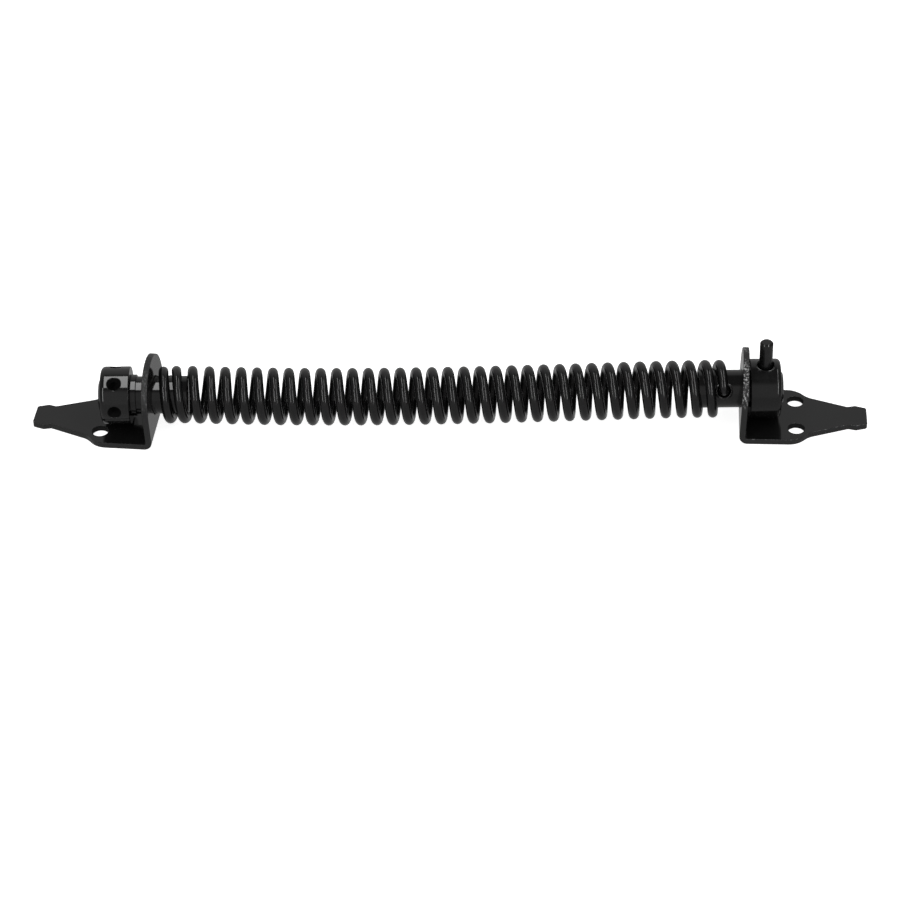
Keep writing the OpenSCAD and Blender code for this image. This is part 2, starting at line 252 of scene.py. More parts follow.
class CLOSER_PG_studio(bpy.types.PropertyGroup):
    """Camera and lights."""

    elevation: angle("Elevation", "Height of the camera above the horizon", 38.18)
    azimuth: angle("Azimuth", "Turn of the camera from the front towards the right", 1.44)
    roll: angle("Roll", "Turn of the camera about its own line of sight", -1.5)
    distance: length("Distance", "Distance of the camera from its target", 1600)
    target_x: length("Target X", "Place that the camera looks at, along the spindles", 0.98)
    target_y: length("Target Y", "Place that the camera looks at, front to back", -22.19)
    lens: bpy.props.FloatProperty(
        name="Lens", description="Focal length in millimetres", default=133.1,
        subtype="DISTANCE_CAMERA"
    )
    softbox: level("Softbox", "Radiance of the two strip softboxes overhead", 5.5)
    panel: level("Panels", "Radiance of the two upright light panels at the sides", 8.0)
    mirrored_glow: level("Mirrored floor", "Radiance of the floor as the enamel mirrors it", 0.36)
    room: level("Room", "Radiance of the room's pale walls", 0.45)
    side_walls: level("Side walls", "Brightness of the side walls, as a share of the others", 0.35)
    ceiling: level("Ceiling", "Radiance of the room's dark ceiling", 0.12)
    paper_glow: level("Paper glow", "Light that comes through the paper from below", 0.85)


def add(tree, kind, *values, sockets=None, **settings):
    """A new node of a tree, with its settings, and with values or links for its inputs."""
    node = tree.nodes.new(kind)
    for key, value in settings.items():
        setattr(node, key, value)
    for key, value in [*enumerate(values), *(sockets or {}).items()]:
        if isinstance(value, bpy.types.Node):
            value = value.outputs[0]
        if isinstance(value, bpy.types.NodeSocket):
            tree.links.new(value, node.inputs[key])
        else:
            node.inputs[key].default_value = value
    return node


def per_mm(size):
    """Texture scale whose features are about so many millimetres across."""
    return 1 / (size * MM)


def new_material(name):
    """A new material with nodes, and its shader."""
    material = bpy.data.materials.new(name)
    material.use_nodes = True
    return material, material.node_tree.nodes["Principled BSDF"]


def enamel(name, paint, rough_low, rough_high, patch_mm, peel_mm, peel_depth):
    """Black enamel over steel: near-black, with clear-edged reflections and a fine ripple."""
    material, shader = new_material(name)
    tree = material.node_tree
    place = add(tree, "ShaderNodeTexCoord").outputs["Object"]
    patches = add(tree, "ShaderNodeTexNoise", sockets={
        "Vector": place, "Scale": per_mm(patch_mm), "Detail": 3.0, "Roughness": 0.6})
    rough = add(tree, MAP_RANGE, patches, *NOISE_RANGE, rough_low, rough_high)
    deep = [DEEP_TONE * channel for channel in paint[:3]] + [1.0]
    tone = add(tree, "ShaderNodeMix", data_type="RGBA", sockets={0: patches, 6: deep, 7: paint})
    peel = add(tree, "ShaderNodeTexNoise", sockets={
        "Vector": place, "Scale": per_mm(peel_mm), "Detail": 2.0, "Roughness": 0.45})
    ripple = add(tree, "ShaderNodeBump", name="Ripple", sockets={
        "Strength": 1.0, "Distance": peel_depth * MM, "Height": peel.outputs[0]})
    tree.links.new(tone.outputs[2], shader.inputs["Base Color"])
    tree.links.new(rough.outputs[0], shader.inputs["Roughness"])
    tree.links.new(ripple.outputs[0], shader.inputs["Normal"])
    shader.inputs["IOR"].default_value = 1.5
    return material


def tear_edges(material, depth_mm, steel, bare_and_glint):
    """Torn grain, thin paint and painted glints on the cut edges of a bracket.

    They are the whole edge of its ear, and the edges of its plate that look to the front or back.
    The grain is drawn out upwards, as the shear left it on the ears. The last argument is the share
    of the steel's grey that shows where an ear's edge looks up: partly steel worn through the
    paint, partly a painted glint of light.
    """
    tree = material.node_tree
    shader = tree.nodes["Principled BSDF"]
    coords = add(tree, "ShaderNodeTexCoord")
    facing = add(tree, "ShaderNodeSeparateXYZ", coords.outputs["Normal"])
    aside = add(tree, MATH, facing.outputs["Y"], operation="ABSOLUTE")
    aside = add(tree, MAP_RANGE, aside, *LOOKS_ASIDE, 0.0, 1.0)
    place = add(tree, "ShaderNodeSeparateXYZ", coords.outputs["Object"])
    ear = add(tree, MAP_RANGE, place.outputs["Z"], *EAR_HEIGHT, 0.0, 1.0)
    cut = add(tree, MATH, aside, ear, operation="MAXIMUM")
    along = add(tree, MATH, facing.outputs["X"], operation="ABSOLUTE")
    between = add(tree, MAP_RANGE, along, *LOOKS_ALONG, 1.0, 0.0)
    share = add(tree, MATH, cut, between, operation="MULTIPLY")
    drawn = add(tree, "ShaderNodeVectorMath", coords.outputs["Object"], GRAIN_STRETCH,
                operation="MULTIPLY")
    grain = add(tree, "ShaderNodeTexNoise", sockets={
        "Vector": drawn, "Scale": per_mm(GRAIN_MM), "Detail": 4.0, "Roughness": 0.6})
    torn = add(tree, MATH, share, grain.outputs[0], operation="MULTIPLY")
    bump = add(tree, "ShaderNodeBump", sockets={
        "Strength": 1.0, "Distance": depth_mm * MM, "Height": torn})
    tree.links.new(bump.outputs[0], tree.nodes["Ripple"].inputs["Normal"])
    shown = add(tree, MAP_RANGE, ear, 0.0, 1.0, PLATE_SPECKS_AND_GLINTS * bare_and_glint, bare_and_glint)
    upward = add(tree, MAP_RANGE, facing.outputs["Z"], *LOOKS_UP, 0.0, shown)
    # Steel grey in the grain where the edge looks up: partly worn paint, partly painted glints
    specks_and_glints = add(tree, MAP_RANGE, grain.outputs[0], *SPECK_AND_GLINT_RANGE, 0.0, upward)
    thin = add(tree, MATH, specks_and_glints, aside, operation="MULTIPLY")
    thin = add(tree, MATH, thin, between, operation="MULTIPLY")
    paint = shader.inputs["Base Color"].links[0].from_socket
    worn = add(tree, "ShaderNodeMix", data_type="RGBA", sockets={0: thin, 6: paint, 7: steel})
    tree.links.new(worn.outputs[2], shader.inputs["Base Color"])
    gloss = shader.inputs["Roughness"].links[0].from_socket
    dull = add(tree, MATH, share, TORN_ROUGHNESS, operation="MULTIPLY")
    rough = add(tree, MATH, gloss, dull, operation="MAXIMUM")
    tree.links.new(rough.outputs[0], shader.inputs["Roughness"])


def dull_painted_shade(name, painted_shade):
    """A darker, dull finish in a hole: painted shade, so that the hole swallows the light."""
    material, shader = new_material(name)
    shader.inputs["Base Color"].default_value = painted_shade
    shader.inputs["Roughness"].default_value = 0.85
    shader.inputs["Specular IOR Level"].default_value = 0.15
    return material


def new_piece(mesh, materials, body, nodes):
    """A finished mesh as a piece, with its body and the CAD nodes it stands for."""
    piece = bpy.data.objects.new(mesh.name, mesh)
    bpy.context.scene.collection.objects.link(piece)
    if not mesh.materials:
        for material in materials:
            mesh.materials.append(material)
    if body:
        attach(piece, body)
    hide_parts(*nodes)
    return piece


def evaluated_mesh(bm, name, modifiers):
    """Plain mesh left of a bmesh by modifiers, each given as (type, settings)."""
    mesh = bpy.data.meshes.new(name + "_blank")
    bm.to_mesh(mesh)
    bm.free()
    blank = bpy.data.objects.new(name, mesh)
    bpy.context.scene.collection.objects.link(blank)
    for kind, settings in modifiers:
        modifier = blank.modifiers.new(kind.title(), kind)
        for key, value in settings.items():
            setattr(modifier, key, value)
    graph = bpy.context.evaluated_depsgraph_get()
    result = bpy.data.meshes.new_from_object(
        blank.evaluated_get(graph), preserve_all_data_layers=True, depsgraph=graph)
    bpy.data.objects.remove(blank)
    result.name = name
    return result


# Flat faces keep their own normals, so a rounded edge doesn't shade its neighbours
FLAT_FIRST = ("WEIGHTED_NORMAL", {"mode": "FACE_AREA", "weight": 100, "keep_sharp": True})


def rounded(corners, closed):
    """Profile of (x, r) points from corners of (x, r, rounding)."""
    points = []
    count = len(corners)
    for i, (x, r, radius) in enumerate(corners):
        here = Vector((x, r))
        if radius == 0 or (not closed and i in (0, count - 1)):
            points.append(here)
            continue
        to_last = (Vector(corners[i - 1][:2]) - here).normalized()
        to_next = (Vector(corners[(i + 1) % count][:2]) - here).normalized()
        half = to_last.angle(to_next) / 2
        centre = here + (to_last + to_next).normalized() * radius / math.sin(half)
        start = here + to_last * radius / math.tan(half) - centre
        sweep = start.angle_signed(here + to_next * radius / math.tan(half) - centre)
        for step in range(EDGE_STEPS + 1):
            turn = -sweep * step / EDGE_STEPS
            cosine, sine = math.cos(turn), math.sin(turn)
            way = Vector((start.x * cosine - start.y * sine, start.x * sine + start.y * cosine))
            points.append(centre + way)
    return points


def patch_corners(h):
    """Profile corners along a drilled surface, one for each row of the hole's patch."""
    return [
        (h["x"] + h["half"] * (2 * i / PATCH_CELLS - 1), h["r"], 0) for i in range(PATCH_CELLS + 1)
    ]


def hole(x, turn, r, half, steps):
    """A hole drilled towards the axis through a surface of radius r.

    Half is half the side of the patch that it is let into. Steps are (radius, depth, flatness)
    from the rim to the floor, where flatness 0 follows the round surface and 1 is a plane.
    """
    return {"x": x, "turn": turn, "r": r, "half": half, "wide": math.asin(half / r), "steps": steps}


def lip_steps(radius, lip):
    """Steps of a hole's rounded rim."""
    steps = []
    for step in range(EDGE_STEPS + 1):
        bend = math.pi / 2 * step / EDGE_STEPS
        steps.append((radius + lip * (1 - math.sin(bend)), lip * (1 - math.cos(bend)), 0.0))
    return steps


def crater_steps(radius, sink, burr):
    """Steps of a countersunk rim with a raised burr round it."""
    rim = radius + sink
    steps = [(rim + out * burr, -up * burr, 0.0) for out, up in BURR_SECTION]
    return steps + [(radius, sink, 0.0)]


def column_angles(holes):
    """Angles of a turned piece's columns, those of every hole's patch among them."""
    whole = 2 * math.pi
    marks = sorted({
        round((h["turn"] + h["wide"] * (2 * k / PATCH_CELLS - 1)) % whole, 5)
        for h in holes for k in range(PATCH_CELLS + 1)
    }) or [0.0]
    angles = []
    for mark, following in zip(marks, marks[1:] + [marks[0] + whole]):
        count = math.ceil((following - mark) / COLUMN_ANGLE)
        angles += [mark + (following - mark) * k / count for k in range(count)]
    for h in holes:
        borders = [(h["turn"] + side * h["wide"]) % whole for side in (-1, 1)]
        first, last = (
            min(range(len(angles)), key=lambda i: abs(angles[i] - border)) for border in borders
        )
        h["column"], h["columns"] = first, (last - first) % len(angles)
    return angles


def turned_mesh(name, corners, closed=False, holes=()):
    """Mesh turned about the spindles' axis from profile corners, with drilled holes."""
    profile = rounded(corners, closed)
    angles = column_angles(holes)
    columns = len(angles)
    bm = bmesh.new()
    rings = []
    for x, r in profile:
        if r < ON_AXIS:
            rings.append([bm.verts.new((x, 0, AXIS_H))] * columns)
        else:
            rings.append([
                bm.verts.new((x, r * math.cos(a), AXIS_H + r * math.sin(a))) for a in angles
            ])
    drilled = set()
    for h in holes:
        row = min(
            range(len(profile)),
            key=lambda i: abs(profile[i][0] - h["x"] + h["half"]) + abs(profile[i][1] - h["r"])
        )
        if profile[row + 1][0] <= profile[row][0]:
            row -= PATCH_CELLS
        h["row"] = row
        drilled |= {
            (row + i, (h["column"] + j) % columns)
            for i in range(PATCH_CELLS) for j in range(h["columns"])
        }
    for i in range(len(profile) if closed else len(profile) - 1):
        lower, upper = rings[i], rings[(i + 1) % len(profile)]
        for j in range(columns):
            if (i, j) not in drilled:
                k = (j + 1) % columns
                face = list(dict.fromkeys((lower[j], lower[k], upper[k], upper[j])))
                bm.faces.new(face)
    for h in holes:
        drill(bm, rings, columns, h)
    bmesh.ops.recalc_face_normals(bm, faces=bm.faces)
    for face in bm.faces:
        face.smooth = True
    return evaluated_mesh(bm, name, [FLAT_FIRST])


def drill(bm, rings, columns, h):
    """Fills a hole's patch with rings of faces, from its border to the hole's floor."""
    n, m = PATCH_CELLS, h["columns"]
    edge = [(0, j) for j in range(m)] + [(i, m) for i in range(n)]
    edge += [(n, j) for j in range(m, 0, -1)] + [(i, 0) for i in range(n, 0, -1)]
    loop = [rings[h["row"] + i][(h["column"] + j) % columns] for i, j in edge]
    out = Vector((0, math.cos(h["turn"]), math.sin(h["turn"])))
    aside = Vector((0, -math.sin(h["turn"]), math.cos(h["turn"])))
    origin = Vector((h["x"], 0, AXIS_H))
    flat = []
    for vertex in loop:
        place = vertex.co - origin
        flat.append(Vector((place.x, h["r"] * math.atan2(place.dot(aside), place.dot(out)))))
    rim_r = h["steps"][0][0]
    for share in PATCH_RINGS:
        ring = []
        for p in flat:
            spread = p.lerp(p.normalized() * rim_r, share)
            turn = spread.y / h["r"]
            up = h["r"] * (out * math.cos(turn) + aside * math.sin(turn))
            ring.append(bm.verts.new(origin + Vector((spread.x, 0, 0)) + up))
        stitch(bm, loop, ring)
        loop = ring
    for number, (radius, depth, flatness) in enumerate(h["steps"], 1):
        ring = []
        for p in flat:
            way = p.normalized() * radius
            surface = math.sqrt(h["r"] ** 2 - way.y ** 2)
            height = (1 - flatness) * surface + flatness * h["r"] - depth
            ring.append(bm.verts.new(origin + Vector((way.x, 0, 0)) + aside * way.y + out * height))
        # The deepest step and the floor of a hole take the second material, its painted shade
        stitch(bm, loop, ring, material=int(number == len(h["steps"])))
        loop = ring
    bm.faces.new(loop).material_index = 1


def stitch(bm, loop, ring, material=0):
    """Faces between two loops of as many points."""
    for k in range(len(loop)):
        m = (k + 1) % len(loop)
        bm.faces.new((loop[k], loop[m], ring[m], ring[k])).material_index = material


def sheet_mesh(node, name, edge):
    """Copy of a bracket's CAD mesh with whole flat faces and rounded cut edges."""
    bm = bmesh.new()
    bm.from_mesh(frame["nodes"][node].data)
    bmesh.ops.remove_doubles(bm, verts=bm.verts, dist=SAME_POINT)
    bmesh.ops.dissolve_limit(bm, angle_limit=SAME_PLANE, verts=bm.verts, edges=bm.edges)
    # The upright walls that face each other across a small hole take the second material, the
    # painted shade of a screw hole
    tree = BVHTree.FromBMesh(bm)
    for face in bm.faces:
        face.smooth = True
        start = face.calc_center_median() + WALL_GAP * face.normal
        across = tree.ray_cast(start, face.normal, SMALL_HOLE)
        face.material_index = int(abs(face.normal.z) < WALL_RISE and across[0] is not None)
    bevel = {
        "width": edge, "segments": CUT_STEPS, "limit_method": "ANGLE", "angle_limit": CUT_ANGLE,
    }
    return evaluated_mesh(bm, name, [("BEVEL", bevel), FLAT_FIRST])


def hook_group():
    """Node group for a hooked end of a wire: how far it lies inside the coil and lags behind it."""
    tree = bpy.data.node_groups.new("Hooked wire end", "GeometryNodeTree")
    for socket in ("Distance", "Straight End", "Bend Radius"):
        tree.interface.new_socket(socket, in_out="INPUT", socket_type="NodeSocketFloat")
    for socket in ("Pull In", "Arc Lag"):
        tree.interface.new_socket(socket, in_out="OUTPUT", socket_type="NodeSocketFloat")
    distance, straight, bend_r = add(tree, "NodeGroupInput").outputs[:3]
    past = add(tree, MATH, distance, straight, operation="SUBTRACT")
    bend = add(tree, MATH, past, bend_r, operation="DIVIDE")
    bend = add(tree, "ShaderNodeClamp", bend, 0.0, math.pi / 2)
    sine = add(tree, MATH, bend, operation="SINE")
    cosine = add(tree, MATH, bend, operation="COSINE")
    in_straight = add(tree, MATH, past, 0.0, operation="MINIMUM")
    rise = add(tree, MATH, 1.0, sine, operation="SUBTRACT")
    pull = add(tree, MATH, rise, bend_r, operation="MULTIPLY")
    pull = add(tree, MATH, pull, in_straight, operation="SUBTRACT")
    arc = add(tree, MATH, bend_r, math.pi / 2, operation="MULTIPLY")
    beyond = add(tree, MATH, past, arc, operation="SUBTRACT")
    in_coil = add(tree, MATH, beyond, 0.0, operation="MAXIMUM")
    sweep = add(tree, MATH, 1.0, cosine, operation="SUBTRACT")
    aside = add(tree, MATH, sweep, bend_r, in_coil, operation="MULTIPLY_ADD")
    plain = add(tree, MATH, beyond, bend_r, operation="ADD")
    lag = add(tree, MATH, aside, plain, operation="SUBTRACT")
    add(tree, "NodeGroupOutput", pull, lag)
    return tree


SPRING_INPUTS = (
    "Wire Diameter", "Coil Radius", "Coil Angle", "Start Angle", "Left X", "Left Pitch",
    "Body Pitch", "Right Pitch", "Bend Radius", "Straight End", "Sag", "Sag From", "Sag To",
    "Ring Skew", "Axis Height",
)


def spring_group():
    """Node group that winds a straight wire into a hooked torsion spring and sweeps it."""
    tree = bpy.data.node_groups.new("Wound torsion spring", "GeometryNodeTree")
    for socket in SPRING_INPUTS:
        tree.interface.new_socket(socket, in_out="INPUT", socket_type="NodeSocketFloat")
    for socket in ("Points Per Turn", "Sides"):
        tree.interface.new_socket(socket, in_out="INPUT", socket_type="NodeSocketInt")
    tree.interface.new_socket("Material", in_out="INPUT", socket_type="NodeSocketMaterial")
    tree.interface.new_socket("Geometry", in_out="OUTPUT", socket_type="NodeSocketGeometry")
    size = {socket.name: socket for socket in add(tree, "NodeGroupInput").outputs}
    hook = hook_group()

    # Length of the straight wire: both hooks and the coil between them
    arc = add(tree, MATH, size["Bend Radius"], math.pi / 2, size["Straight End"],
              operation="MULTIPLY_ADD")
    spare = add(tree, MATH, arc, size["Bend Radius"], operation="SUBTRACT")
    coil = add(tree, MATH, size["Coil Radius"], size["Coil Angle"], operation="MULTIPLY")
    whole = add(tree, MATH, spare, 2.0, coil, operation="MULTIPLY_ADD")
    turn = add(tree, MATH, size["Coil Radius"], 2 * math.pi, operation="MULTIPLY")
    density = add(tree, MATH, size["Points Per Turn"], turn, operation="DIVIDE")
    count = add(tree, MATH, whole, density, operation="MULTIPLY")
    end = add(tree, "ShaderNodeCombineXYZ", whole)
    blank = add(tree, "GeometryNodeCurvePrimitiveLine", sockets={"End": end})
    blank = add(tree, "GeometryNodeResampleCurve", sockets={"Curve": blank, "Count": count})

    # Each point's distance from both ends gives its radius and its angle round the coil
    run = add(tree, "ShaderNodeSeparateXYZ", add(tree, "GeometryNodeInputPosition"))
    rest = add(tree, MATH, whole, run, operation="SUBTRACT")
    left, right = (
        add(tree, "GeometryNodeGroup", distance, size["Straight End"], size["Bend Radius"],
            node_tree=hook)
        for distance in (run, rest)
    )
    wound = add(tree, MATH, run, spare, operation="SUBTRACT")
    wound = add(tree, MATH, wound, left.outputs["Arc Lag"], operation="ADD")
    wound = add(tree, MATH, wound, right.outputs["Arc Lag"], operation="SUBTRACT")
    wound = add(tree, MATH, wound, size["Coil Radius"], operation="DIVIDE")
    radius = add(tree, MATH, size["Coil Radius"], left.outputs["Pull In"], operation="SUBTRACT")
    radius = add(tree, MATH, radius, right.outputs["Pull In"], operation="SUBTRACT")

    # Place along the spindles: a closer first turn, the body, a closer last turn
    turns = add(tree, MATH, wound, 2 * math.pi, operation="DIVIDE")
    last = add(tree, MATH, size["Coil Angle"], 2 * math.pi, operation="DIVIDE")
    last = add(tree, MATH, last, 1.0, operation="SUBTRACT")
    first_turn = add(tree, MATH, turns, 1.0, operation="MINIMUM")
    body_turns = add(tree, MATH, turns, last, operation="MINIMUM")
    body_turns = add(tree, MATH, body_turns, 1.0, operation="SUBTRACT")
    body_turns = add(tree, MATH, body_turns, 0.0, operation="MAXIMUM")
    last_turn = add(tree, MATH, turns, last, operation="SUBTRACT")
    last_turn = add(tree, MATH, last_turn, 0.0, operation="MAXIMUM")
    x = add(tree, MATH, first_turn, size["Left Pitch"], size["Left X"], operation="MULTIPLY_ADD")
    x = add(tree, MATH, body_turns, size["Body Pitch"], x, operation="MULTIPLY_ADD")
    x = add(tree, MATH, last_turn, size["Right Pitch"], x, operation="MULTIPLY_ADD")

    # Sag of the spring, free to tip at the left spindle and held in line at the right one
    share = add(tree, MAP_RANGE, x, size["Sag From"], size["Sag To"], 0.0, 1.0)
    other = add(tree, MATH, 1.0, share, operation="SUBTRACT")
    held = add(tree, MATH, other, SAG_POWER, operation="POWER")
    bow = add(tree, MATH, share, held, operation="MULTIPLY")
    bow = add(tree, MATH, bow, SAG_PEAK, operation="DIVIDE")
    hang = add(tree, MATH, bow, size["Sag"], operation="MULTIPLY")
    height = add(tree, MATH, size["Axis Height"], hang, operation="SUBTRACT")
    around = add(tree, MATH, wound, size["Start Angle"], operation="ADD")
    cosine = add(tree, MATH, around, operation="COSINE")
    sine = add(tree, MATH, around, operation="SINE")
    y = add(tree, MATH, radius, cosine, operation="MULTIPLY")
    rise = add(tree, MATH, radius, sine, operation="MULTIPLY")
    z = add(tree, MATH, rise, height, operation="ADD")

    # The turns stand square to the sagging axis, which is eased in over the first free turn
    fall = add(tree, MATH, share, -1 - SAG_POWER, 1.0, operation="MULTIPLY_ADD")
    root = add(tree, MATH, other, operation="SQRT")
    slope = add(tree, MATH, root, fall, operation="MULTIPLY")
    slope = add(tree, MATH, slope, SAG_PEAK, operation="DIVIDE")
    slope = add(tree, MATH, slope, size["Sag"], operation="MULTIPLY")
    free = add(tree, MATH, size["Sag To"], size["Sag From"], operation="SUBTRACT")
    slope = add(tree, MATH, slope, free, operation="DIVIDE")
    eased = add(tree, MATH, size["Sag From"], size["Body Pitch"], operation="ADD")
    ease = add(tree, MAP_RANGE, x, size["Sag From"], eased, 0.0, 1.0)
    tip = add(tree, MATH, slope, ease, operation="MULTIPLY")
    x = add(tree, MATH, tip, rise, x, operation="MULTIPLY_ADD")

    # The rings are also turned in plan, most of all three quarters of the way along
    skew = add(tree, MATH, share, SKEW_POWER, operation="POWER")
    skew = add(tree, MATH, skew, root, operation="MULTIPLY")
    skew = add(tree, MATH, skew, -SKEW_PEAK, operation="DIVIDE")
    skew = add(tree, MATH, skew, size["Ring Skew"], operation="MULTIPLY")
    x = add(tree, MATH, skew, y, x, operation="MULTIPLY_ADD")
    place = add(tree, "ShaderNodeCombineXYZ", x, y, z)

    # The points are moved to their places, and the wire is swept along them
    path = add(tree, "GeometryNodeSetPosition", sockets={"Geometry": blank, "Position": place})
    wire_r = add(tree, MATH, size["Wire Diameter"], 0.5, operation="MULTIPLY")
    section = add(tree, "GeometryNodeCurvePrimitiveCircle", sockets={
        "Resolution": size["Sides"], "Radius": wire_r})
    tube = add(tree, "GeometryNodeCurveToMesh", sockets={
        "Curve": path, "Profile Curve": section, "Fill Caps": True})
    tube = add(tree, "GeometryNodeSetShadeSmooth", sockets={"Geometry": tube})
    tube = add(tree, "GeometryNodeRealizeInstances", sockets={"Geometry": tube})
    tube = add(tree, "GeometryNodeSetMaterial", sockets={
        "Geometry": tube, "Material": size["Material"]})
    add(tree, "NodeGroupOutput", tube)
    return tree


class CLOSER_OT_brackets(bpy.types.Operator):
    """Make both brackets, bent from enamelled steel plate"""

    bl_idname = "closer.make_brackets"
    bl_label = "Brackets"

    def execute(self, context):
        paint = context.scene.closer_paint
        edge = context.scene.closer_sizes.sheared_edge
        # Painted shade: a darker, dull finish on the screw holes' walls, so that they read dark
        dull = dull_painted_shade("Painted shade in screw holes", paint.screw_hole_shade[:])
        # Black gloss enamel, dipped over hot-rolled plate: a dark mirror with a faint ripple, and
        # a torn grain along the sheared edges, with grey flecks on the right ear that are partly
        # steel worn through and partly painted glints
        for node, finish, depth, bare_and_glint in (
            ("left_bracket", "Black gloss enamel on steel plate", 0.35, 0.1),
            ("right_bracket", "Black gloss enamel on steel plate, worn edge", 0.3, 0.85),
        ):
            gloss = enamel(finish, paint.plate[:], *PLATE_ENAMEL)
            tear_edges(gloss, depth, paint.steel[:], bare_and_glint)
            mesh = sheet_mesh(node, node + "_plate", edge)
            new_piece(mesh, [gloss, dull], node, [node])
        return {"FINISHED"}


class CLOSER_OT_collars(bpy.types.Operator):
    """Make the winding collar with its tommy-bar holes and the anchor collar with its pin hole"""

    bl_idname = "closer.make_collars"
    bl_label = "Collars"

    def execute(self, context):
        size = context.scene.closer_sizes
        paint = context.scene.closer_paint
        low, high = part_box("winding_collar")
        radius = (high.z - low.z) / 2
        middle = (low.x + high.x) / 2
        tommy = lip_steps(size.tommy_r, size.hole_lip) + [(size.tommy_r, size.tommy_depth, 1.0)]
        half = size.tommy_r + TOMMY_MARGIN
        holes = [
            hole(middle, 2 * math.pi * i / size.tommy_count, radius, half, tommy)
            for i in range(size.tommy_count)
        ]
        corners = [
            (low.x, size.bore_r, size.turned_edge), (low.x, radius, size.collar_edge),
            *patch_corners(holes[0]),
            (high.x, radius, size.turned_edge), (high.x, size.bore_r, size.turned_edge),
        ]
        # Black gloss enamel over a turned bar end: the sharpest mirror on the closer
        gloss = enamel("Black gloss enamel on turned steel", paint.turned[:], *TURNED_ENAMEL)
        # Painted shade: a darker, dull finish in the tommy-bar holes, so that they read black
        painted_shade = dull_painted_shade("Dull scale in collar holes", paint.hole[:])
        mesh = turned_mesh("winding_collar_drum", corners, closed=True, holes=holes)
        new_piece(mesh, [gloss, painted_shade], "winder", ["winding_collar"])

        low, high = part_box("anchor_collar")
        radius = (high.z - low.z) / 2
        sink = crater_steps(size.pin_hole_r, size.pin_sink, size.burr / 2) + [
            (size.pin_hole_r, radius - size.bore_r - size.turned_edge, 1.0)]
        pin_hole = hole((low.x + high.x) / 2, math.pi / 2, radius, sink[0][0] + PIN_MARGIN, sink)
        corners = [
            (low.x, size.bore_r, size.turned_edge), (low.x, radius, size.turned_edge),
            *patch_corners(pin_hole),
            (high.x, radius, size.collar_edge), (high.x, size.bore_r, size.turned_edge),
        ]
        # Black gloss enamel brushed thin over a rough-turned collar: a softer, cloudy mirror
        cloudy = enamel("Black gloss enamel on rough steel", paint.collar[:], *COLLAR_ENAMEL)
        mesh = turned_mesh("anchor_collar_drum", corners, closed=True, holes=[pin_hole])
        new_piece(mesh, [cloudy, painted_shade], "anchor", ["anchor_collar"])
        return {"FINISHED"}


class CLOSER_OT_spacer_ring(bpy.types.Operator):
    """Make the thin ring between the left spindle's free length and the winding collar"""

    bl_idname = "closer.make_spacer_ring"
    bl_label = "Spacer ring"

    def execute(self, context):
        size = context.scene.closer_sizes
        paint = context.scene.closer_paint
        low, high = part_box("spacer_ring")
        radius = (high.z - low.z) / 2
        edge = size.turned_edge / 2
        corners = [
            (low.x, size.ring_bore_r, edge), (low.x, radius, edge),
            (high.x, radius, edge), (high.x, size.ring_bore_r, edge),
        ]
        # Black gloss enamel on a ring cut from tube: as sharp a mirror as the collar beside it
        gloss = enamel("Black gloss enamel on cut ring", paint.turned[:], *TURNED_ENAMEL)
        mesh = turned_mesh("spacer_ring_band", corners, closed=True)
        new_piece(mesh, [gloss], "winder", ["spacer_ring"])
        return {"FINISHED"}


class CLOSER_OT_spindles(bpy.types.Operator):
    """Make both spindles, each with the hole that holds an end of the wire"""

    bl_idname = "closer.make_spindles"
    bl_label = "Spindles"

    def execute(self, context):
        size = context.scene.closer_sizes
        spring = context.scene.closer_spring
        paint = context.scene.closer_paint
        # Black gloss enamel on bright drawn bar: a clear mirror, a little softer than the collar's
        gloss = enamel("Black gloss enamel on drawn bar", paint.turned[:], *BAR_ENAMEL)
        # Painted shade: a darker, dull finish in the wire holes and the pin's hole, so that they
        # read black
        painted_shade = dull_painted_shade("Dull scale in spindle holes", paint.hole[:])
        r = size.spindle_r
        wire_steps = crater_steps(size.wire_hole_r, size.wire_hole_sink, size.burr) + [
            (size.wire_hole_r, r - size.wire_hole_floor, 1.0)]
        collar_low, collar_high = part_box("anchor_collar")
        pin_steps = lip_steps(size.pin_hole_r, size.hole_lip) + [
            (size.pin_hole_r, size.spigot_r - size.pin_floor, 1.0)]
        pin_x = (collar_low.x + collar_high.x) / 2
        pin_hole = hole(pin_x, math.pi / 2, size.spigot_r, PIN_PATCH, pin_steps)
        left_seat, right_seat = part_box("winding_collar")[1].x, collar_low.x
        ends = (
            ("left_spindle", "winder", spring.left_x, spring.left_angle, left_seat, []),
            ("right_spindle", "anchor", spring.right_x, spring.right_angle, right_seat, [pin_hole]),
        )
        for node, body, wire_x, wire_turn, seat_x, pin_holes in ends:
            low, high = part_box(node)
            out = 1 if node == "right_spindle" else -1
            inner, outer = (low.x, high.x) if out > 0 else (high.x, low.x)
            wire_hole = hole(wire_x, wire_turn, r, wire_steps[0][0] + WIRE_MARGIN, wire_steps)
            chamfer_x = inner + out * size.spindle_chamfer
            head_x = outer - out * size.rivet_h
            corners = [
                (inner, 0.0, 0), (inner, r - size.spindle_chamfer, 0), (chamfer_x, r, 0),
                *patch_corners(wire_hole)[::out],
                (seat_x, r, size.turned_edge), (seat_x, size.spigot_r, 0),
                *(corner for h in pin_holes for corner in patch_corners(h)[::out]),
                (head_x, size.spigot_r, 0), (head_x, size.rivet_r, 0),
                (outer - out * size.rivet_h * 2 / 3, size.rivet_r, 0),
                (outer, size.spigot_r, 0), (outer, 0.0, 0),
            ]
            mesh = turned_mesh(node + "_bar", corners, holes=[wire_hole, *pin_holes])
            new_piece(mesh, [gloss, painted_shade], body, [node])
        return {"FINISHED"}


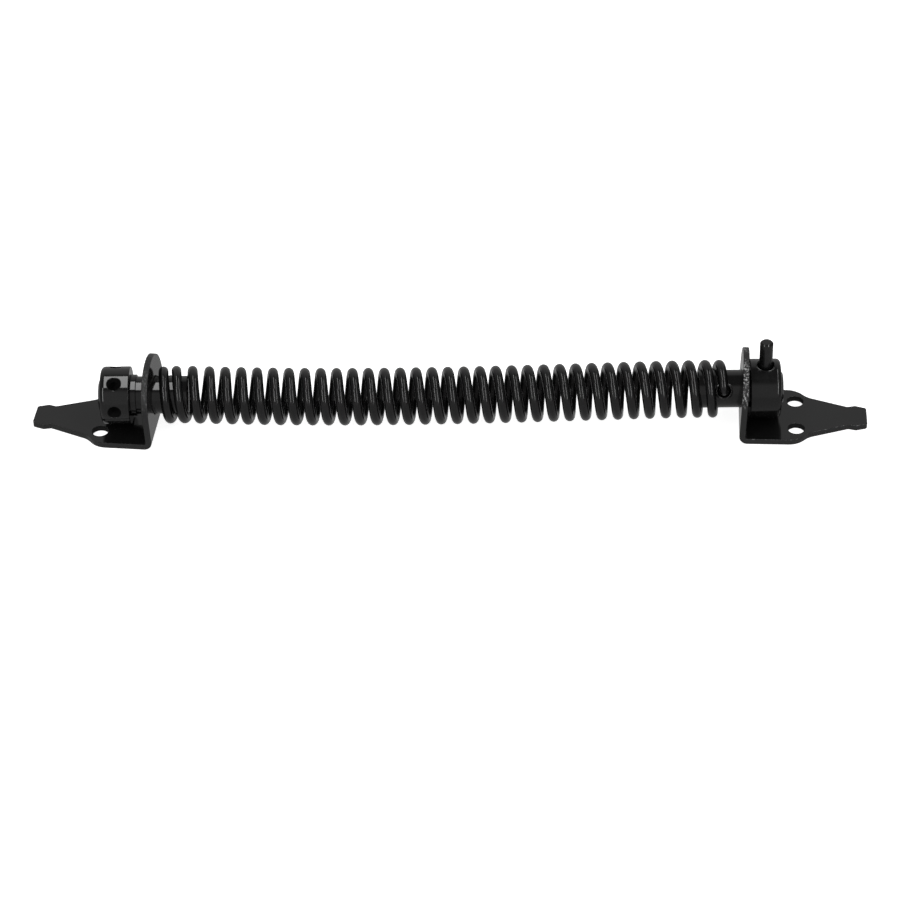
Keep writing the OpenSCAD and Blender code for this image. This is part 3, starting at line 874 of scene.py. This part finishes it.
class CLOSER_OT_torsion_spring(bpy.types.Operator):
    """Wind the torsion spring and hook its ends into the spindles"""

    bl_idname = "closer.make_torsion_spring"
    bl_label = "Torsion spring"

    def execute(self, context):
        spring = context.scene.closer_spring
        paint = context.scene.closer_paint
        # Black enamel over oil-tempered spring wire: narrow highlights along it with soft ends
        material = enamel("Black enamel on spring wire", paint.wire[:], *WIRE_ENAMEL)
        coil_angle = 2 * math.pi * spring.turns + spring.right_angle - spring.left_angle
        coil_turns = coil_angle / (2 * math.pi)
        run = spring.right_x - spring.left_x
        values = {
            "Wire Diameter": spring.wire_d + 2 * spring.coat,
            "Coil Radius": spring.coil_r,
            "Coil Angle": coil_angle,
            "Start Angle": spring.left_angle,
            "Left X": spring.left_x,
            "Left Pitch": spring.left_pitch,
            "Body Pitch": (run - spring.left_pitch - spring.right_pitch) / (coil_turns - 2),
            "Right Pitch": spring.right_pitch,
            "Bend Radius": spring.bend_r,
            "Straight End": spring.wire_d,
            "Sag": spring.sag,
            "Sag From": spring.left_x + spring.tail,
            "Sag To": spring.right_x - spring.tail,
            "Ring Skew": spring.skew,
            "Axis Height": AXIS_H,
            "Points Per Turn": 72,
            "Sides": 16,
            "Material": material,
        }
        blank = bpy.data.objects.new("spring_blank", bpy.data.meshes.new("spring_blank"))
        context.scene.collection.objects.link(blank)
        winding = blank.modifiers.new("Wound torsion spring", "NODES")
        winding.node_group = spring_group()
        for socket in winding.node_group.interface.items_tree:
            if socket.in_out == "INPUT":
                winding[socket.identifier] = values[socket.name]
        graph = context.evaluated_depsgraph_get()
        mesh = bpy.data.meshes.new_from_object(blank.evaluated_get(graph), depsgraph=graph)
        bpy.data.objects.remove(blank)
        mesh.name = "torsion_spring_wire"
        piece = new_piece(mesh, [material], None, ["torsion_spring"])
        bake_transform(piece)
        return {"FINISHED"}


class CLOSER_OT_locking_pin(bpy.types.Operator):
    """Make the locking pin that stands in the anchor collar"""

    bl_idname = "closer.make_locking_pin"
    bl_label = "Locking pin"

    def execute(self, context):
        size = context.scene.closer_sizes
        paint = context.scene.closer_paint
        low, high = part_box("locking_pin")
        radius = (high.x - low.x) / 2
        chamfer = size.pin_chamfer
        corners = [
            (low.z, 0.0, 0),
            (low.z, radius - chamfer, PIN_EDGE), (low.z + chamfer, radius, PIN_EDGE),
            (high.z - chamfer, radius, PIN_EDGE), (high.z, radius - chamfer, PIN_EDGE),
            (high.z, 0.0, 0),
        ]
        mesh = turned_mesh("locking_pin_rod", corners)
        # Turned about the spindles' axis first, then stood up in its hole
        middle = (low.x + high.x) / 2
        for vertex in mesh.vertices:
            along, y, z = vertex.co
            vertex.co = (middle + z - AXIS_H, -y, along)
        # Black enamel on a cut rod, worn a little dull and uneven where it slides
        worn = enamel("Black enamel on cut rod", paint.turned[:], *ROD_ENAMEL)
        new_piece(mesh, [worn], "locking_pin", ["locking_pin"])
        return {"FINISHED"}


def lay_floor(name, finish, paint, gloss, glow, depth):
    """A wide floor that glows of itself, so far under the closer and no part of it."""
    material, shader = new_material(finish)
    shader.inputs["Base Color"].default_value = paint
    shader.inputs["Roughness"].default_value = 0.9
    shader.inputs["Specular IOR Level"].default_value = gloss
    shader.inputs["Emission Color"].default_value = (1, 1, 1, 1)
    shader.inputs["Emission Strength"].default_value = glow
    bpy.ops.mesh.primitive_plane_add(size=FLOOR_SIZE, location=(0, 0, -depth))
    floor = bpy.context.object
    floor.name = name
    floor.data.materials.append(material)
    return floor


class CLOSER_OT_stage(bpy.types.Operator):
    """Lay the floor, hang the softboxes and set up the camera"""

    bl_idname = "closer.make_stage"
    bl_label = "Stage"

    def execute(self, context):
        scene = context.scene
        studio = scene.closer_studio
        scene.view_settings.view_transform = "Standard"

        # Matt white paper, lit from below as well: an even white with faint shadows
        paper = scene.closer_paint.paper[:]
        floor = lay_floor(
            "paper_floor", "White paper floor", paper, 0.1, studio.paper_glow, PAPER_DEPTH)
        floor.visible_glossy = False

        # The enamel mirrors an even grey floor in place of the white one
        black = (0, 0, 0, 1)
        mirrored = lay_floor(
            "mirrored_floor", "Grey floor in reflections", black, 0.0, studio.mirrored_glow,
            MIRRORED_DEPTH)
        mirrored.visible_camera = mirrored.visible_diffuse = mirrored.visible_shadow = False

        # Pale walls under a dark ceiling
        world = bpy.data.worlds.new("Studio room")
        world.use_nodes = True
        tree = world.node_tree
        room = tree.nodes["Background"]
        room.inputs["Color"].default_value = (1, 1, 1, 1)
        coords = add(tree, "ShaderNodeTexCoord")
        way = add(tree, "ShaderNodeSeparateXYZ", coords.outputs["Generated"])
        glow = add(tree, MAP_RANGE, way.outputs["Z"], *CEILING_RANGE, studio.room,
                   studio.ceiling, interpolation_type="SMOOTHSTEP")
        aside = add(tree, MATH, way.outputs["X"], operation="ABSOLUTE")
        share = add(tree, MAP_RANGE, aside, *SIDE_RANGE, 1.0, studio.side_walls)
        glow = add(tree, MATH, glow, share, operation="MULTIPLY")
        tree.links.new(glow.outputs[0], room.inputs["Strength"])
        scene.world = world

        for name, place, reach, setting in LAMPS:
            lamp = bpy.data.lights.new(name, "AREA")
            lamp.shape = "RECTANGLE"
            lamp.size, lamp.size_y = LAMP_WIDTH, reach
            lamp.energy = getattr(studio, setting) * math.pi * lamp.size * lamp.size_y
            box = bpy.data.objects.new(name, lamp)
            box.location = place
            box.rotation_mode = "QUATERNION"
            box.rotation_quaternion = Vector((0, -place[1], -place[2])).to_track_quat("-Z", "Y")
            scene.collection.objects.link(box)

        forward = Vector((
            -math.sin(studio.azimuth) * math.cos(studio.elevation),
            math.cos(studio.azimuth) * math.cos(studio.elevation),
            -math.sin(studio.elevation),
        ))
        lens = bpy.data.cameras.new("Camera")
        lens.lens = studio.lens
        lens.sensor_width = 36
        camera = bpy.data.objects.new("Camera", lens)
        camera.location = Vector((studio.target_x, studio.target_y, 0)) - forward * studio.distance
        camera.rotation_mode = "QUATERNION"
        roll = Quaternion((0, 0, 1), studio.roll)
        camera.rotation_quaternion = forward.to_track_quat("-Z", "Y") @ roll
        scene.collection.objects.link(camera)
        scene.camera = camera
        return {"FINISHED"}


GROUPS = {
    "closer_sizes": CLOSER_PG_sizes,
    "closer_spring": CLOSER_PG_spring,
    "closer_paint": CLOSER_PG_paint,
    "closer_studio": CLOSER_PG_studio,
}
OPERATORS = (
    CLOSER_OT_stage, CLOSER_OT_brackets, CLOSER_OT_collars, CLOSER_OT_spacer_ring,
    CLOSER_OT_spindles, CLOSER_OT_torsion_spring, CLOSER_OT_locking_pin,
)


class CLOSER_PT_panel(bpy.types.Panel):
    """Lists the pieces and the sizes that they are made to"""

    bl_idname = "CLOSER_PT_panel"
    bl_label = "Gate spring closer"
    bl_space_type = "VIEW_3D"
    bl_region_type = "UI"
    bl_category = "Gate closer"

    def draw(self, context):
        for operator in OPERATORS:
            self.layout.operator(operator.bl_idname)
        for group in GROUPS:
            box = self.layout.box()
            settings = getattr(context.scene, group)
            for name in settings.bl_rna.properties.keys():
                if name not in ("rna_type", "name"):
                    box.prop(settings, name)


CLASSES = (*GROUPS.values(), *OPERATORS, CLOSER_PT_panel)


def register():
    """Add the settings, the operators and the panel."""
    for cls in CLASSES:
        bpy.utils.register_class(cls)
    for name, group in GROUPS.items():
        setattr(bpy.types.Scene, name, bpy.props.PointerProperty(type=group))


def unregister():
    """Take them away again."""
    for name in GROUPS:
        delattr(bpy.types.Scene, name)
    for cls in reversed(CLASSES):
        bpy.utils.unregister_class(cls)


def main():
    """Make the stage and every piece."""
    register()
    bpy.ops.closer.make_stage()
    bpy.ops.closer.make_brackets()
    bpy.ops.closer.make_collars()
    bpy.ops.closer.make_spacer_ring()
    bpy.ops.closer.make_spindles()
    bpy.ops.closer.make_torsion_spring()
    bpy.ops.closer.make_locking_pin()


if __name__ == "__main__":
    main()
